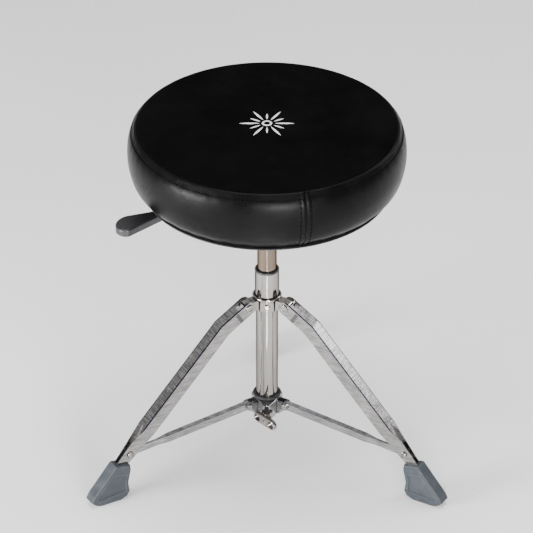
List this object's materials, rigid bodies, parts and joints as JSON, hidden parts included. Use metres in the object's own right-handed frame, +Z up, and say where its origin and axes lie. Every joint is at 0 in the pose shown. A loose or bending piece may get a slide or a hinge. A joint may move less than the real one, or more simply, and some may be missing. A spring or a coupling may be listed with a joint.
{
  "type": "drum throne",
  "caption": "Round padded drum seat with a gas height lift, a swivel and a lever, on a folding three-legged chrome stand with braces and rubber feet.",
  "frame": {"origin": "on the floor, under the column's axis, with the three soles resting at z = 0", "axes": "+Z up along the column; -Y towards the front, between the two front legs; the third leg points along +Y; the height lever points to -X and a little forward"},
  "size_m": [0.518, 0.49, 0.5484],
  "materials": {
    "chrome": "polished, slightly warm",
    "cylinder_chrome": "ground and polished, brownish reflections",
    "steel": "plain turned steel",
    "black_steel": "black satin paint",
    "black_plastic": "moulded, satin",
    "rubber": "dark slate grey, matt",
    "plywood": "raw birch plywood",
    "dust_cloth": "thin black non-woven cloth",
    "vinyl": "black grained vinyl, soft sheen",
    "velour": "black short-pile velour, matt",
    "foam": "cut polyurethane foam",
    "emblem_thread": "white embroidery thread"
  },
  "bodies": {
    "base": {"base_tube": "chrome", "column_sleeve": "chrome", "guide_bush": "black_plastic", "top_hub": "chrome", "hub_screw": "chrome", "tube_end_plate": "steel", "lower_race": "steel"},
    "spindle": {"piston_rod": "steel", "piston": "steel", "piston_seal": "rubber", "upper_race": "steel", "bearing_balls": "steel", "bearing_cage": "black_plastic", "retaining_clip": "steel", "rod_washer": "steel", "stop_bumper": "rubber"},
    "seat": {"gas_cylinder": "cylinder_chrome", "rod_guide": "steel", "rod_seal": "rubber", "valve_block": "steel", "seat_socket": "black_steel", "lever_pin": "steel", "mount_plate": "black_steel", "plate_bolts": "steel", "tee_nuts": "steel", "seat_board": "plywood", "dust_cover": "dust_cloth", "side_cover": "vinyl", "top_panel": "velour", "foam_cushion": "foam", "edge_trim": "vinyl", "seat_emblem": "emblem_thread"},
    "valve": {"valve_pin": "steel"},
    "lever": {"lever_arm": "black_steel", "lever_paddle": "black_plastic"},
    "collar": {"collar_bush": "black_plastic", "collar_cap": "chrome", "clamp_nut": "chrome", "collar_pins": "chrome"},
    "screw": {"wing_screw": "chrome", "wing_grip": "chrome"},
    "leg_body_1": {"leg_1": "chrome", "leg_pivot_1": "chrome", "brace_rivet_1": "chrome", "rubber_foot_1": "rubber"},
    "brace_body_1": {"brace_1": "chrome"},
    "leg_body_2": {"leg_2": "chrome", "leg_pivot_2": "chrome", "brace_rivet_2": "chrome", "rubber_foot_2": "rubber"},
    "brace_body_2": {"brace_2": "chrome"},
    "leg_body_3": {"leg_3": "chrome", "leg_pivot_3": "chrome", "brace_rivet_3": "chrome", "rubber_foot_3": "rubber"},
    "brace_body_3": {"brace_3": "chrome"}
  },
  "joints": [
    {"name": "seat_swivel", "type": "hinge", "parent": "base", "child": "spindle", "pos_m": [0, 0, 0.075], "axis": [0, 0, 1], "continuous": true},
    {"name": "seat_height", "type": "slide", "parent": "spindle", "child": "seat", "axis": [0, 0, 1], "range_m": [-0.09, 0.06]},
    {"name": "lever_lift", "type": "hinge", "parent": "seat", "child": "lever", "pos_m": [-0.02801, -0.01075, 0.4442], "axis": [-0.3584, 0.9336, 0], "range_deg": [0, 3.5], "stiffness_Nm_per_rad": 20, "springref_deg": -2.86},
    {"name": "valve_press", "type": "slide", "parent": "seat", "child": "valve", "axis": [0, 0, -1], "range_m": [0, 0.0019]},
    {"name": "collar_slide", "type": "slide", "parent": "base", "child": "collar", "axis": [0, 0, 1], "range_m": [0, 0.106]},
    {"name": "wing_turn", "type": "hinge", "parent": "collar", "child": "screw", "pos_m": [0, -0.05, 0.082], "axis": [0, -1, 0], "range_deg": [0, 360]},
    {"name": "leg_fold_1", "type": "hinge", "parent": "base", "child": "leg_body_1", "pos_m": [-0.02923, -0.01688, 0.257], "axis": [0.5, -0.866, 0], "range_deg": [0, 40]},
    {"name": "brace_fold_1", "type": "hinge", "parent": "collar", "child": "brace_body_1", "pos_m": [-0.02745, -0.01585, 0.0864], "axis": [0.5, -0.866, 0], "range_deg": [0, 76]},
    {"name": "leg_fold_2", "type": "hinge", "parent": "base", "child": "leg_body_2", "pos_m": [0.02923, -0.01688, 0.257], "axis": [0.5, 0.866, 0], "range_deg": [0, 40]},
    {"name": "brace_fold_2", "type": "hinge", "parent": "collar", "child": "brace_body_2", "pos_m": [0.02745, -0.01585, 0.0864], "axis": [0.5, 0.866, 0], "range_deg": [0, 76]},
    {"name": "leg_fold_3", "type": "hinge", "parent": "base", "child": "leg_body_3", "pos_m": [0, 0.03375, 0.257], "axis": [-1, 0, 0], "range_deg": [0, 40]},
    {"name": "brace_fold_3", "type": "hinge", "parent": "collar", "child": "brace_body_3", "pos_m": [0, 0.0317, 0.0864], "axis": [-1, 0, 0], "range_deg": [0, 76]}
  ],
  "couplings": [
    {"joint": "valve_press", "follows": "lever_lift", "m_per_rad": 0.03},
    {"joint": "leg_fold_1", "follows": "collar_slide", "rad_per_m": 6.5861},
    {"joint": "brace_fold_1", "follows": "collar_slide", "rad_per_m": 12.514},
    {"joint": "leg_fold_2", "follows": "collar_slide", "rad_per_m": 6.5861},
    {"joint": "brace_fold_2", "follows": "collar_slide", "rad_per_m": 12.514},
    {"joint": "leg_fold_3", "follows": "collar_slide", "rad_per_m": 6.5861},
    {"joint": "brace_fold_3", "follows": "collar_slide", "rad_per_m": 12.514}
  ]
}
